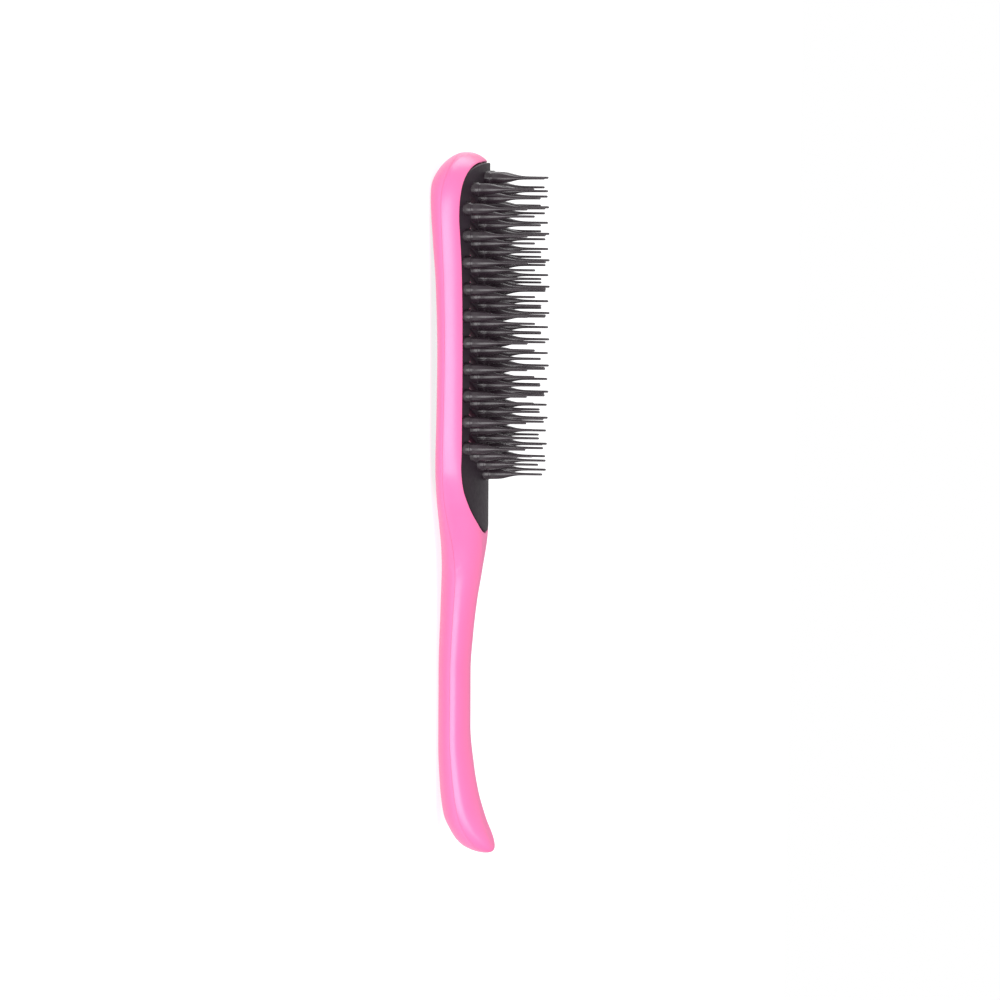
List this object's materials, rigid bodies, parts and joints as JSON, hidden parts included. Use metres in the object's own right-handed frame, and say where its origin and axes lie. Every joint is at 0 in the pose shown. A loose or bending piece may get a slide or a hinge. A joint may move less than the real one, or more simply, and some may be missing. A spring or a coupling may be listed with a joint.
{
  "type": "vented hair brush",
  "caption": "Long-handled vented styling brush with a domed slotted plate and rows of long tapered teeth on an open head.",
  "frame": {"origin": "under the middle of the brush's bounding box, on the surface that its back rests on", "axes": "+Y from the handle to the head end, +Z the way the teeth point, +X across the head"},
  "size_m": [0.0678, 0.2448, 0.0372],
  "materials": {
    "pink_gloss": "satin gloss moulded plastic",
    "black_plate": "satin moulded plastic",
    "black_teeth": "satin flexible plastic"
  },
  "bodies": {
    "root": {"front_shell": "pink_gloss", "back_shell": "pink_gloss", "plate_edge": "black_plate", "vent_bar_01": "black_plate", "vent_bar_02": "black_plate", "vent_bar_03": "black_plate", "vent_bar_04": "black_plate", "vent_bar_05": "black_plate", "vent_bar_06": "black_plate", "vent_bar_07": "black_plate", "vent_bar_08": "black_plate", "vent_bar_09": "black_plate", "tooth_row_01": "black_teeth", "tooth_row_02": "black_teeth", "tooth_row_03": "black_teeth", "tooth_row_04": "black_teeth", "tooth_row_05": "black_teeth", "tooth_row_06": "black_teeth", "tooth_row_07": "black_teeth", "tooth_row_08": "black_teeth", "tooth_row_09": "black_teeth", "tooth_row_10": "black_teeth", "tooth_row_11": "black_teeth", "tooth_row_12": "black_teeth"}
  },
  "joints": []
}
